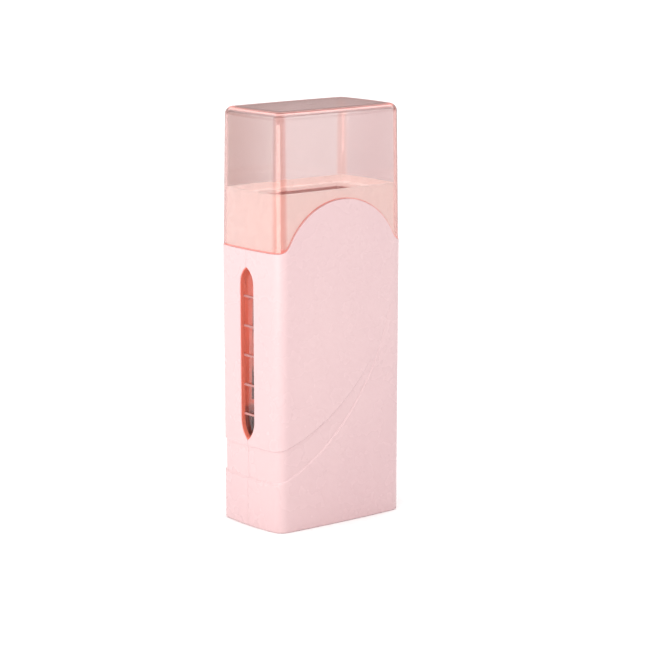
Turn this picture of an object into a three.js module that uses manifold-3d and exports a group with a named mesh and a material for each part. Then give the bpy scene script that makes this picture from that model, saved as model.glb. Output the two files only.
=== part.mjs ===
// A hand-held heater for a standard roll-on wax cartridge.
// Millimetres, +Z up, origin at the centre of the base. X runs along the wide faces and Y through them.
// The sight window is on the -X narrow side, the mains inlet on the +X one, and the screws enter from +Y.
import * as THREE from 'three';
import { mergeVertices } from 'three/addons/utils/BufferGeometryUtils.js';
import Module from 'manifold-3d';

// Case, measured where the cap meets it
const HEIGHT = 205;
const WIDTH = 81.4;
const DEPTH = 49.4;
const NARROW_CROWN = 2.2;
const WIDE_CROWN = 1.2;
const CORNER_RADIUS = 6.5;
const WALL = 1.9;
const FLOOR = 2.6;
const ROOT_INSET = 1.3;
const BODY_DRAFT = 0.5;
const BASE_EDGE = 0.9;
const SEAM = 0.1;
const GAP = 0.3;

// Arched joint between the case and the cap
const JOINT_Z = 137.4;
const ARCH_TOP_Z = 161;
const ARCH_RADIUS = 36;
const ARCH_FOOT_RADIUS = 7;

// Cap
const CAP_STEP = 0.3;
const CAP_WALL = 1.6;
const CAP_DRAFT = 1.0;
const CAP_EDGE = 4.2;

// Collar inside the cap
const COLLAR_TOP_Z = 165.6;
const COLLAR_BASE_Z = 131;
const COLLAR_INSET = 2.3;
const COLLAR_WALL = 2.2;
const COLLAR_EDGE = 0.9;
const DECK_Z = 162.4;
const DECK_THICKNESS = 1.6;
const LOCK_HEIGHT = 1.6;
const LOCK_REACH = 0.7;

// Recessed grip band, which sweeps up both wide faces from the window side
const BAND_DEPTH = 0.7;
const BAND_LOW_Z = 24.2;
const BAND_HIGH_Z = 40.4;
const BAND_START_X = -39;
const BAND_TIP = [28.6, 100.5];

// Sight window
const SLIT_HALF_WIDTH = 5.25;
const SLIT_LOW_Z = 43.1;
const SLIT_HIGH_Z = 128.9;
const SLIT_SPRING_LOW_Z = 53;
const SLIT_SPRING_HIGH_Z = 120.5;
const LENS_X = -37.7;
const LENS_THICKNESS = 1.4;
const LENS_HALF_WIDTH = 7.5;
const LENS_LOW_Z = 41;
const LENS_HIGH_Z = 130;
const BAR_COUNT = 5;
const BAR_FIRST_Z = 55.6;
const BAR_PITCH = 14.6;
const BAR_HEIGHT = 1.2;
const BAR_PROUD = 0.8;
const BAR_HALF_WIDTH = 4.9;
const RAIL_THICKNESS = 1.4;
const RAIL_LIP = 0.8;
const RAIL_END_GAP = 1;

// Cartridge chamber
const CHAMBER_WIDTH = 60.4;
const CHAMBER_DEPTH = 32.4;
const LINER_WALL = 1.4;
const LINER_LOW_Z = 42.4;
const LINER_CORNER = 3;
const BORE_CORNER = 2;
const SIGHT_SLOT_HALF_WIDTH = 11;
const SIGHT_SLOT_LOW_Z = 44.2;
const SIGHT_SLOT_HIGH_Z = 136;
const GUIDE_RIB_HEIGHT = 1;
const GUIDE_RIB_PROUD = 0.5;
const CHAMBER_FLOOR_Z = 54.6;
const CHAMBER_FLOOR_GAP = 0.3;
const FIN_COUNT = 11;
const FIN_PITCH = 1.8;
const FIN_THICKNESS = 0.8;
const FIN_PROUD = 1.2;

// Ribs on the inside of the case: the shelves under the liner and the pairs that trap the inlet's flange
const RIB_THICKNESS = 2;
const RIB_DEPTH = 8;
const SHELF_X = 20;
const SHELF_NEAR_Y = 10;
const FLANGE_RIB_X = 33.2;
const FLANGE_STOP_X = 36.8;
const FLANGE_RIB_NEAR_Y = 9.8;

// Heating parts, front and rear alike
const PLATE_HALF_WIDTH = 23.2;
const PLATE_LOW_Z = 60;
const PLATE_HIGH_Z = 107.4;
const PLATE_THICKNESS = 1.5;
const HEATER_HALF_WIDTH = 17;
const HEATER_LOW_Z = 74;
const HEATER_HIGH_Z = 96;
const HEATER_THICKNESS = 2.5;
const INSULATOR_MARGIN = 2;
const INSULATOR_THICKNESS = 0.3;
const CLIP_THICKNESS = 0.5;
const CLIP_LOW_Z = 80;
const CLIP_HIGH_Z = 90;
const CLIP_SAG = 3;
const CLIP_LUG_THICKNESS = 1.4;
const CLIP_LUG_REACH = 3.2;
const CLIP_LUG_MARGIN = 1;
const STACK_GAP = 0.1;
const PLATE_SET_BACK = 0.2;
const SAFETY_Z = 117;
const SAFETY_STAND_OFF = 3.8;
const THERMOSTAT_HALF_WIDTH = 8;
const THERMOSTAT_HALF_HEIGHT = 3.5;
const TAB_REACH = 13;
const FUSE_RADIUS = 1.8;
const FUSE_HALF_LENGTH = 5.5;
const FUSE_WIRE_REACH = 9;
const LEAD_RADIUS = 0.75;
const LEAD_GAP = 0.6;

// Mains inlet, a two-pin figure-of-eight socket
const INLET_Z = 21;
const INLET_HALF_WIDTH = 9.5;
const INLET_HALF_HEIGHT = 6;
const INLET_BACK_X = 24;
const INLET_FLOOR_X = 27;
const INLET_SHOULDER_X = 37.6;
const INLET_NOSE_X = 39.9;
const SOCKET_LENGTH = 14.6;
const SOCKET_HEIGHT = 7.6;
const SOCKET_RIM = 1.2;
const PIN_SPACING = 8.6;
const PIN_RADIUS = 1.2;
const PIN_REACH = 3.5;
const FLANGE_X = [34.5, 36.5];
const FLANGE_MARGIN = 2;

// Case screws: where they stand as [x, z]
const SCREW_PLACES = [[-31, 9], [31, 9], [-34.9, 36], [34.9, 125.5]];
const BOSS_RADIUS = 3;
const BOSS_HEAD_RADIUS = 4;
const SCREW_SEAT_Y = 19;
const SCREW_TIP_Y = -12;
const SCREW_SHANK_RADIUS = 1.25;
const SCREW_HEAD_RADIUS = 2.7;
const SCREW_HEAD_HEIGHT = 1.9;
const CROSS_REACH = 1.6;
const CROSS_HALF_WIDTH = 0.35;
const CROSS_DEPTH = 1.1;
const SEAT_THICKNESS = 1.1;
const PILOT_GAP = 0.1;

const FAR = 60;
const HALF_PI = Math.PI / 2;

const wasm = await Module();
wasm.setup();

// ---- Outlines ----

function arc(cx, cy, radius, start, end, segments) {
  const points = [];
  for (let i = 0; i <= segments; i += 1) {
    const angle = start + ((end - start) * i) / segments;
    points.push(new THREE.Vector2(cx + radius * Math.cos(angle), cy + radius * Math.sin(angle)));
  }
  return points;
}

function closed(points) {
  return points.filter((point, i) => {
    const previous = points[(i + points.length - 1) % points.length];
    return point.distanceTo(previous) > 1e-6;
  });
}

// Circle through the ends and the middle of a face that bulges by crown over a half span
function crownRadius(crown, halfSpan) {
  return (crown ** 2 + halfSpan ** 2) / (2 * crown);
}

// The case in plan: four bowed faces joined by corner arcs that are tangent to them, moved inwards by inset
function caseOutline(inset) {
  const sideRadius = crownRadius(NARROW_CROWN, DEPTH / 2);
  const faceRadius = crownRadius(WIDE_CROWN, WIDTH / 2);
  const side = new THREE.Vector2(WIDTH / 2 - sideRadius, 0);
  const face = new THREE.Vector2(0, DEPTH / 2 - faceRadius);
  const reach = sideRadius - CORNER_RADIUS;
  const between = face.clone().sub(side);
  const span = between.length();
  const along = (reach ** 2 - (faceRadius - CORNER_RADIUS) ** 2 + span ** 2) / (2 * span);
  const across = Math.sqrt(reach ** 2 - along ** 2);
  const step = between.divideScalar(span);
  const corner = new THREE.Vector2(
    side.x + step.x * along - step.y * across,
    side.y + step.y * along + step.x * across,
  );
  if (corner.x < 0 || corner.y < 0) {
    corner.set(side.x + step.x * along + step.y * across, side.y + step.y * along - step.x * across);
  }
  const sideAngle = Math.atan2(corner.y, corner.x - side.x);
  const faceAngle = Math.atan2(corner.y - face.y, corner.x);
  const quarter = [
    ...arc(side.x, 0, sideRadius - inset, 0, sideAngle, 2),
    ...arc(corner.x, corner.y, CORNER_RADIUS - inset, sideAngle, faceAngle, 4),
    ...arc(0, face.y, faceRadius - inset, faceAngle, HALF_PI, 3),
  ];
  const half = [...quarter, ...quarter.map((p) => new THREE.Vector2(-p.x, p.y)).reverse()];
  return closed([...half, ...half.map((p) => new THREE.Vector2(p.x, -p.y)).reverse()]);
}

function roundedRectangle(width, height, radius, cx = 0, cy = 0, segments = 3) {
  const x = width / 2 - radius;
  const y = height / 2 - radius;
  return closed([
    ...arc(cx + x, cy + y, radius, 0, HALF_PI, segments),
    ...arc(cx - x, cy + y, radius, HALF_PI, Math.PI, segments),
    ...arc(cx - x, cy - y, radius, Math.PI, 3 * HALF_PI, segments),
    ...arc(cx + x, cy - y, radius, 3 * HALF_PI, 4 * HALF_PI, segments),
  ]);
}

// Everything below the arched joint, in front view, raised by gap
function archRegion(gap) {
  const centreZ = ARCH_TOP_Z - ARCH_RADIUS;
  const footZ = JOINT_Z + ARCH_FOOT_RADIUS;
  const footX = Math.sqrt((ARCH_RADIUS + ARCH_FOOT_RADIUS) ** 2 - (footZ - centreZ) ** 2);
  const turn = Math.atan2(footZ - centreZ, footX);
  const foot = ARCH_FOOT_RADIUS - gap;
  return closed([
    new THREE.Vector2(-FAR, -FAR),
    new THREE.Vector2(FAR, -FAR),
    new THREE.Vector2(FAR, JOINT_Z + gap),
    ...arc(footX, footZ, foot, 3 * HALF_PI, Math.PI + turn, 5),
    ...arc(0, centreZ, ARCH_RADIUS + gap, turn, Math.PI - turn, 20),
    ...arc(-footX, footZ, foot, -turn, -HALF_PI, 5),
    new THREE.Vector2(-FAR, JOINT_Z + gap),
  ]);
}

// The grip band in front view: level round the narrow side, then sweeping up to a point
function bandRegion() {
  const tip = new THREE.Vector2(...BAND_TIP);
  const low = new THREE.Vector2(BAND_START_X, BAND_LOW_Z);
  const high = new THREE.Vector2(BAND_START_X, BAND_HIGH_Z);
  const [lowOut, lowIn] = [new THREE.Vector2(-6, 35), new THREE.Vector2(21, 68)];
  const [highIn, highOut] = [new THREE.Vector2(17, 68), new THREE.Vector2(-14, 46)];
  const rising = new THREE.CubicBezierCurve(low, lowOut, lowIn, tip);
  const falling = new THREE.CubicBezierCurve(tip, highIn, highOut, high);
  return closed([
    new THREE.Vector2(-FAR, BAND_LOW_Z),
    ...rising.getPoints(12),
    ...falling.getPoints(12),
    new THREE.Vector2(-FAR, BAND_HIGH_Z),
  ]);
}

// A tall slot in side view whose two ends come to a point between arcs
function slitRegion() {
  const end = (springZ, tipZ, segments) => {
    const rise = Math.abs(tipZ - springZ);
    const offset = (rise ** 2 - SLIT_HALF_WIDTH ** 2) / (2 * SLIT_HALF_WIDTH);
    const sweep = Math.atan2(rise, offset);
    return arc(-offset, 0, SLIT_HALF_WIDTH + offset, 0, sweep, segments);
  };
  const upper = end(SLIT_SPRING_HIGH_Z, SLIT_HIGH_Z, 4);
  const lower = end(SLIT_SPRING_LOW_Z, SLIT_LOW_Z, 4);
  return closed([
    ...upper.map((p) => new THREE.Vector2(p.x, SLIT_SPRING_HIGH_Z + p.y)),
    ...upper.map((p) => new THREE.Vector2(-p.x, SLIT_SPRING_HIGH_Z + p.y)).reverse(),
    ...lower.map((p) => new THREE.Vector2(-p.x, SLIT_SPRING_LOW_Z - p.y)),
    ...lower.map((p) => new THREE.Vector2(p.x, SLIT_SPRING_LOW_Z - p.y)).reverse(),
  ]);
}

// ---- Solids ----

function solidOf(geometry) {
  geometry.deleteAttribute('normal');
  geometry.deleteAttribute('uv');
  const merged = mergeVertices(geometry);
  return new wasm.Manifold(new wasm.Mesh({
    numProp: 3,
    vertProperties: new Float32Array(merged.attributes.position.array),
    triVerts: new Uint32Array(merged.index.array),
  }));
}

// Upright prism between two levels, with its end edges rounded by edge
function uprightGeometry(points, lowZ, highZ, edge = 0) {
  const geometry = new THREE.ExtrudeGeometry(new THREE.Shape(points), {
    depth: highZ - lowZ - 2 * edge,
    bevelEnabled: edge > 0,
    bevelThickness: edge,
    bevelSize: edge,
    bevelOffset: -edge,
    bevelSegments: 3,
  });
  return geometry.translate(0, 0, lowZ + edge);
}

function upright(points, lowZ, highZ, edge = 0) {
  return solidOf(uprightGeometry(points, lowZ, highZ, edge));
}

// Draws the sides of an upright geometry inwards by insetAt(z)
function drafted(geometry, insetAt) {
  const position = geometry.attributes.position;
  for (let i = 0; i < position.count; i += 1) {
    const inset = insetAt(position.getZ(i));
    position.setX(i, position.getX(i) * (1 - (2 * inset) / WIDTH));
    position.setY(i, position.getY(i) * (1 - (2 * inset) / DEPTH));
  }
  return solidOf(geometry);
}

const bodyDraft = (z) => BODY_DRAFT * (1 - z / JOINT_Z);
const capDraft = (z) => (CAP_DRAFT * (z - JOINT_Z)) / (HEIGHT - JOINT_Z);

// Prism along Y of an outline given as (x, z)
function throughY(points, lowY, highY) {
  const depth = highY - lowY;
  const geometry = new THREE.ExtrudeGeometry(new THREE.Shape(points), { depth, bevelEnabled: false });
  return solidOf(geometry.rotateX(HALF_PI).translate(0, highY, 0));
}

// Prism along X of an outline given as (y, z)
function throughX(points, lowX, highX) {
  const depth = highX - lowX;
  const geometry = new THREE.ExtrudeGeometry(new THREE.Shape(points), { depth, bevelEnabled: false });
  const turn = new THREE.Matrix4().makeBasis(
    new THREE.Vector3(0, 1, 0),
    new THREE.Vector3(0, 0, 1),
    new THREE.Vector3(1, 0, 0),
  );
  return solidOf(geometry.applyMatrix4(turn).translate(lowX, 0, 0));
}

function block(lowX, highX, lowY, highY, lowZ, highZ) {
  const geometry = new THREE.BoxGeometry(highX - lowX, highY - lowY, highZ - lowZ);
  return solidOf(geometry.translate((lowX + highX) / 2, (lowY + highY) / 2, (lowZ + highZ) / 2));
}

function rodY(x, z, radius, lowY, highY, segments = 14) {
  const geometry = new THREE.CylinderGeometry(radius, radius, highY - lowY, segments);
  return solidOf(geometry.translate(x, (lowY + highY) / 2, z));
}

function rodX(y, z, radius, lowX, highX, segments = 16) {
  const geometry = new THREE.CylinderGeometry(radius, radius, highX - lowX, segments);
  return solidOf(geometry.rotateZ(HALF_PI).translate((lowX + highX) / 2, y, z));
}

function union(solids) {
  return solids.reduce((sum, solid) => sum.add(solid));
}

// ---- Materials ----

function material(color, roughness, metalness = 0, opacity = 1) {
  return new THREE.MeshStandardMaterial({ color, roughness, metalness, opacity, transparent: opacity < 1 });
}

const looks = {
  shell: () => material('#efd2d3', 0.38),
  collar: () => material('#f6c9c2', 0.35),
  cap: () => material('#e6a9a4', 0.08, 0, 0.35),
  lens: () => material('#e8b4ae', 0.1, 0, 0.4),
  liner: () => material('#cc5a48', 0.3),
  floor: () => material('#6b4a49', 0.6),
  aluminium: () => material('#c9cacb', 0.35, 1),
  heater: () => material('#8f9296', 0.45, 1),
  film: () => material('#c08a2e', 0.3),
  steel: () => material('#b4b6b8', 0.3, 1),
  fuse: () => material('#d8d5cc', 0.4),
  thermostat: () => material('#2c2c2e', 0.5),
  inlet: () => material('#29282a', 0.5),
  live: () => material('#b3352c', 0.5),
  neutral: () => material('#e8e4df', 0.5),
};

const group = new THREE.Group();

function addNode(name, solid, look) {
  const mesh = solid.getMesh();
  const geometry = new THREE.BufferGeometry();
  geometry.setAttribute('position', new THREE.BufferAttribute(mesh.vertProperties, 3));
  geometry.setIndex(new THREE.BufferAttribute(mesh.triVerts, 1));
  geometry.computeVertexNormals();
  const node = new THREE.Mesh(geometry, look());
  node.name = name;
  group.add(node);
}

// ---- Case ----

function stadium(length, height, grow = 0) {
  return roundedRectangle(length + 2 * grow, height + 2 * grow, height / 2 + grow - 0.01, 0, INLET_Z, 6);
}

// Posts between the faces that the case screws run down
function screwBosses() {
  const seatLow = SCREW_SEAT_Y - SEAT_THICKNESS;
  const posts = SCREW_PLACES.map(([x, z]) => rodY(x, z, BOSS_RADIUS, -FAR, FAR));
  const seats = SCREW_PLACES.map(([x, z]) => rodY(x, z, BOSS_HEAD_RADIUS, seatLow, FAR));
  return union([...posts, ...seats]);
}

function screwHoles() {
  const pilotRadius = SCREW_SHANK_RADIUS + PILOT_GAP;
  const clearance = SCREW_PLACES.map(([x, z]) => rodY(x, z, SCREW_SHANK_RADIUS + GAP, 0, FAR));
  const pilot = SCREW_PLACES.map(([x, z]) => rodY(x, z, pilotRadius, SCREW_TIP_Y - 1, 0));
  const heads = SCREW_PLACES.map(([x, z]) => rodY(x, z, SCREW_HEAD_RADIUS + GAP, SCREW_SEAT_Y, FAR));
  return union([...clearance, ...pilot, ...heads]);
}

// Guides on the inside of the window side that hold the lens by its long edges
function lensRails() {
  const inner = LENS_X + LENS_THICKNESS + GAP;
  const edge = LENS_HALF_WIDTH + GAP;
  const [low, high] = [LENS_LOW_Z + RAIL_END_GAP, LENS_HIGH_Z - RAIL_END_GAP];
  const rail = block(-FAR, inner + RAIL_LIP, edge, edge + RAIL_THICKNESS, low, high);
  const lip = block(inner, inner + RAIL_LIP, edge - RAIL_THICKNESS, edge + RAIL_THICKNESS, low, high);
  const one = rail.add(lip);
  return one.add(one.mirror([0, 1, 0]));
}

// Ribs that carry the chamber liner, and pairs of ribs that trap the inlet's flange
function supportRibs() {
  const shelfZ = LINER_LOW_Z - GAP;
  const half = RIB_THICKNESS / 2;
  const [low, high] = [INLET_Z - RIB_DEPTH, INLET_Z + RIB_DEPTH];
  const oneSide = union([
    block(-SHELF_X - half, -SHELF_X + half, SHELF_NEAR_Y, FAR, shelfZ - RIB_DEPTH, shelfZ),
    block(SHELF_X - half, SHELF_X + half, SHELF_NEAR_Y, FAR, shelfZ - RIB_DEPTH, shelfZ),
    block(FLANGE_RIB_X - half, FLANGE_RIB_X + half, FLANGE_RIB_NEAR_Y, FAR, low, high),
    block(FLANGE_STOP_X, FAR, FLANGE_RIB_NEAR_Y, FAR, low, high),
  ]);
  return oneSide.add(oneSide.mirror([0, 1, 0]));
}

function caseBody() {
  const top = ARCH_TOP_Z + 10;
  const outer = drafted(uprightGeometry(caseOutline(0), 0, top, BASE_EDGE), bodyDraft);
  const cavity = drafted(uprightGeometry(caseOutline(WALL), FLOOR, top + 10), bodyDraft);
  const core = drafted(uprightGeometry(caseOutline(BAND_DEPTH), -10, top + 10), bodyDraft);
  const rooted = drafted(uprightGeometry(caseOutline(ROOT_INSET), FLOOR / 2, top + 10), bodyDraft);
  const fittings = union([screwBosses(), lensRails(), supportRibs()]).intersect(rooted);
  const lockLow = COLLAR_BASE_Z - GAP;
  const lockOutline = caseOutline(COLLAR_INSET - LOCK_REACH - GAP);
  const lockGroove = upright(lockOutline, lockLow, COLLAR_BASE_Z + LOCK_HEIGHT + GAP);
  return outer
    .subtract(cavity)
    .add(fittings)
    .intersect(throughY(archRegion(0), -FAR, FAR))
    .subtract(throughY(bandRegion(), -FAR, FAR).subtract(core))
    .subtract(lockGroove)
    .subtract(throughX(slitRegion(), -FAR, -WIDTH / 2 + WALL + 1.5))
    .subtract(throughX(stadium(SOCKET_LENGTH, SOCKET_HEIGHT, SOCKET_RIM + GAP), INLET_NOSE_X - 3, FAR))
    .subtract(screwHoles());
}

function addCase() {
  const body = caseBody();
  const front = body.intersect(block(-FAR, FAR, -FAR, -SEAM, -FAR, HEIGHT));
  const back = body.intersect(block(-FAR, FAR, SEAM, FAR, -FAR, HEIGHT));
  addNode('front_shell', front, looks.shell);
  addNode('back_shell', back, looks.shell);
}

function addScrews() {
  SCREW_PLACES.forEach(([x, z], i) => {
    const top = SCREW_SEAT_Y + SCREW_HEAD_HEIGHT;
    const head = rodY(x, z, SCREW_HEAD_RADIUS, SCREW_SEAT_Y, top);
    const shank = rodY(x, z, SCREW_SHANK_RADIUS, SCREW_TIP_Y, SCREW_SEAT_Y + 0.5, 12);
    const low = top - CROSS_DEPTH;
    const bar = (halfX, halfZ) => block(x - halfX, x + halfX, low, top + 1, z - halfZ, z + halfZ);
    const cross = bar(CROSS_REACH, CROSS_HALF_WIDTH).add(bar(CROSS_HALF_WIDTH, CROSS_REACH));
    addNode(`case_screw_${i + 1}`, head.add(shank).subtract(cross), looks.steel);
  });
}

// ---- Cap, collar and window ----

function addCap() {
  const start = JOINT_Z - 20;
  const outer = drafted(uprightGeometry(caseOutline(CAP_STEP), start, HEIGHT, CAP_EDGE), capDraft);
  const innerOutline = caseOutline(CAP_STEP + CAP_WALL);
  const inner = drafted(
    uprightGeometry(innerOutline, start - 10, HEIGHT - CAP_WALL, CAP_EDGE - CAP_WALL),
    capDraft,
  );
  addNode('cap', outer.subtract(inner).subtract(throughY(archRegion(GAP), -FAR, FAR)), looks.cap);
}

function addCollar() {
  const outline = caseOutline(COLLAR_INSET);
  const body = drafted(uprightGeometry(outline, COLLAR_BASE_Z - 10, COLLAR_TOP_Z, COLLAR_EDGE), capDraft);
  const above = block(-FAR, FAR, -FAR, FAR, COLLAR_BASE_Z, HEIGHT);
  const boreOutline = caseOutline(COLLAR_INSET + COLLAR_WALL);
  const bore = drafted(uprightGeometry(boreOutline, COLLAR_BASE_Z - 20, HEIGHT), capDraft);
  const deck = block(-FAR, FAR, -FAR, FAR, DECK_Z - DECK_THICKNESS, DECK_Z);
  const mouth = upright(roundedRectangle(CHAMBER_WIDTH, CHAMBER_DEPTH, BORE_CORNER), 0, HEIGHT);
  const lockOutline = caseOutline(COLLAR_INSET - LOCK_REACH);
  const lock = upright(lockOutline, COLLAR_BASE_Z, COLLAR_BASE_Z + LOCK_HEIGHT);
  const solid = body.intersect(above).add(lock).subtract(bore.subtract(deck)).subtract(mouth);
  addNode('collar', solid, looks.collar);
}

function addLens() {
  const inner = LENS_X + LENS_THICKNESS;
  const plate = block(LENS_X, inner, -LENS_HALF_WIDTH, LENS_HALF_WIDTH, LENS_LOW_Z, LENS_HIGH_Z);
  const bars = [];
  for (let i = 0; i < BAR_COUNT; i += 1) {
    const z = BAR_FIRST_Z + i * BAR_PITCH;
    const [low, high] = [z - BAR_HEIGHT / 2, z + BAR_HEIGHT / 2];
    bars.push(block(LENS_X - BAR_PROUD, LENS_X + 0.2, -BAR_HALF_WIDTH, BAR_HALF_WIDTH, low, high));
  }
  addNode('window_lens', plate.add(union(bars)), looks.lens);
}

// ---- Cartridge chamber ----

const linerHalfWidth = CHAMBER_WIDTH / 2 + LINER_WALL;
const linerHalfDepth = CHAMBER_DEPTH / 2 + LINER_WALL;
const linerTopZ = DECK_Z - DECK_THICKNESS - GAP;
const clipReach = linerHalfWidth - 2;

function addLiner() {
  const outline = roundedRectangle(2 * linerHalfWidth, 2 * linerHalfDepth, LINER_CORNER);
  const outer = upright(outline, LINER_LOW_Z, linerTopZ);
  const boreOutline = roundedRectangle(CHAMBER_WIDTH, CHAMBER_DEPTH, BORE_CORNER);
  const bore = upright(boreOutline, LINER_LOW_Z + LINER_WALL, HEIGHT);
  const slotHalf = SIGHT_SLOT_HALF_WIDTH;
  const slot = block(-FAR, 0, -slotHalf, slotHalf, SIGHT_SLOT_LOW_Z, SIGHT_SLOT_HIGH_Z);
  const half = PLATE_HALF_WIDTH + GAP;
  const windows = block(-half, half, -FAR, FAR, PLATE_LOW_Z - GAP, PLATE_HIGH_Z + GAP);
  const [lugLow, lugHigh] = [CLIP_LOW_Z - CLIP_LUG_MARGIN, CLIP_HIGH_Z + CLIP_LUG_MARGIN];
  const lugY = linerHalfDepth + CLIP_LUG_REACH;
  const lug = block(clipReach + 0.5 - CLIP_LUG_THICKNESS, clipReach + 0.5, -lugY, lugY, lugLow, lugHigh);
  const ribX = CHAMBER_WIDTH / 2 - BORE_CORNER;
  const ribY = CHAMBER_DEPTH / 2;
  const ribLow = PLATE_HIGH_Z + GAP;
  const rib = block(-ribX, ribX, ribY - GUIDE_RIB_PROUD, ribY + 0.5, ribLow, ribLow + GUIDE_RIB_HEIGHT);
  const lugs = lug.add(lug.mirror([1, 0, 0]));
  const ribs = rib.add(rib.mirror([0, 1, 0]));
  const solid = outer.add(lugs).subtract(union([bore, slot, windows])).add(ribs);
  addNode('chamber_liner', solid, looks.liner);
}

// The block in the liner that a cartridge stands on, with upright fins on the side that the window shows
function addChamberFloor() {
  const gap = CHAMBER_FLOOR_GAP;
  const low = LINER_LOW_Z + LINER_WALL + gap;
  const width = CHAMBER_WIDTH - 2 * gap - FIN_PROUD;
  const outline = roundedRectangle(width, CHAMBER_DEPTH - 2 * gap, BORE_CORNER, FIN_PROUD / 2);
  const base = upright(outline, low, CHAMBER_FLOOR_Z);
  const fins = [];
  const finX = gap - CHAMBER_WIDTH / 2;
  for (let i = 0; i < FIN_COUNT; i += 1) {
    const y = (i - (FIN_COUNT - 1) / 2) * FIN_PITCH;
    const [near, far] = [y - FIN_THICKNESS / 2, y + FIN_THICKNESS / 2];
    fins.push(block(finX, finX + FIN_PROUD + 0.5, near, far, low, CHAMBER_FLOOR_Z));
  }
  addNode('chamber_floor', base.add(union(fins)), looks.floor);
}

// ---- Heating parts ----

// Bowed spring strip in plan, made by moving a centre line half the thickness each way
function clipOutline(centreY, side) {
  const flat = HEATER_HALF_WIDTH + 1;
  const end = clipReach - 1.5;
  const bend = [end - 0.7, 0.43 * CLIP_SAG];
  const line = [[-end, CLIP_SAG], [-bend[0], bend[1]], [-flat, 0], [flat, 0], bend, [end, CLIP_SAG]];
  const points = line.map(([x, sag]) => new THREE.Vector2(x, side * (centreY - sag)));
  const normals = points.map((point, i) => {
    const before = points[Math.max(i - 1, 0)];
    const after = points[Math.min(i + 1, points.length - 1)];
    const along = after.clone().sub(before).normalize();
    return new THREE.Vector2(-along.y, along.x).multiplyScalar(CLIP_THICKNESS / 2);
  });
  const upper = points.map((point, i) => point.clone().add(normals[i]));
  const lower = points.map((point, i) => point.clone().sub(normals[i])).reverse();
  return [...lower.reverse(), ...upper.reverse()];
}

function addHeating(place, side) {
  const slab = (halfWidth, near, thickness, low, high) => {
    const far = near + thickness;
    const [lowY, highY] = side > 0 ? [near, far] : [-far, -near];
    return block(-halfWidth, halfWidth, lowY, highY, low, high);
  };
  const plateY = CHAMBER_DEPTH / 2 + PLATE_SET_BACK;
  const heaterY = plateY + PLATE_THICKNESS + STACK_GAP;
  const filmY = heaterY + HEATER_THICKNESS + STACK_GAP;
  const clipY = filmY + INSULATOR_THICKNESS + STACK_GAP + CLIP_THICKNESS;
  const margin = INSULATOR_MARGIN;
  const plate = slab(PLATE_HALF_WIDTH, plateY, PLATE_THICKNESS, PLATE_LOW_Z, PLATE_HIGH_Z);
  addNode(`${place}_heat_plate`, plate, looks.aluminium);
  const heater = slab(HEATER_HALF_WIDTH, heaterY, HEATER_THICKNESS, HEATER_LOW_Z, HEATER_HIGH_Z);
  addNode(`${place}_heater`, heater, looks.heater);
  const film = slab(
    HEATER_HALF_WIDTH + margin, filmY, INSULATOR_THICKNESS, HEATER_LOW_Z - margin, HEATER_HIGH_Z + margin,
  );
  addNode(`${place}_insulator`, film, looks.film);
  const clip = upright(clipOutline(clipY, side), CLIP_LOW_Z, CLIP_HIGH_Z);
  addNode(`${place}_clip`, clip, looks.steel);
}

const safetyY = CHAMBER_DEPTH / 2 + SAFETY_STAND_OFF;

function addSafetyParts() {
  const [half, tall] = [THERMOSTAT_HALF_WIDTH, THERMOSTAT_HALF_HEIGHT];
  const body = block(-half, half, safetyY - 1.7, safetyY + 1.5, SAFETY_Z - tall, SAFETY_Z + tall);
  const tabs = block(-TAB_REACH, TAB_REACH, safetyY - 0.3, safetyY + 0.3, SAFETY_Z - 1.2, SAFETY_Z + 1.2);
  addNode('thermostat', body.add(tabs), looks.thermostat);
  const fuse = rodX(-safetyY, SAFETY_Z, FUSE_RADIUS, -FUSE_HALF_LENGTH, FUSE_HALF_LENGTH);
  const wires = rodX(-safetyY, SAFETY_Z, 0.4, -FUSE_WIRE_REACH, FUSE_WIRE_REACH, 8);
  addNode('thermal_fuse', fuse.add(wires), looks.fuse);
}

// ---- Mains inlet and leads ----

function addInlet() {
  const [half, tall] = [INLET_HALF_WIDTH, INLET_HALF_HEIGHT];
  const housing = block(INLET_BACK_X, INLET_SHOULDER_X, -half, half, INLET_Z - tall, INLET_Z + tall);
  const [wide, high] = [half + FLANGE_MARGIN, tall + FLANGE_MARGIN];
  const flange = block(...FLANGE_X, -wide, wide, INLET_Z - high, INLET_Z + high);
  const noseOutline = stadium(SOCKET_LENGTH, SOCKET_HEIGHT, SOCKET_RIM);
  const nose = throughX(noseOutline, INLET_SHOULDER_X - 1, INLET_NOSE_X);
  const socket = throughX(stadium(SOCKET_LENGTH, SOCKET_HEIGHT), INLET_FLOOR_X, FAR);
  const pinYs = [PIN_SPACING / 2, -PIN_SPACING / 2];
  const holes = union(pinYs.map((y) => rodX(y, INLET_Z, PIN_RADIUS + 0.1, 0, FAR)));
  const solid = union([housing, flange, nose]).subtract(socket).subtract(holes);
  addNode('inlet_housing', solid, looks.inlet);
  ['live', 'neutral'].forEach((name, i) => {
    const pin = rodX(pinYs[i], INLET_Z, PIN_RADIUS, INLET_BACK_X - PIN_REACH, INLET_SHOULDER_X + 0.4);
    addNode(`inlet_pin_${name}`, pin, looks.steel);
  });
}

// A round insulated wire along a smooth line through the given places
function addLead(name, places, look, steps) {
  const path = new THREE.CatmullRomCurve3(places.map((place) => new THREE.Vector3(...place)));
  const section = new THREE.Shape(closed(arc(0, 0, LEAD_RADIUS, 0, 2 * Math.PI, 8)));
  const geometry = new THREE.ExtrudeGeometry(section, { steps, extrudePath: path, bevelEnabled: false });
  addNode(name, solidOf(geometry), look);
}

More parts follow.
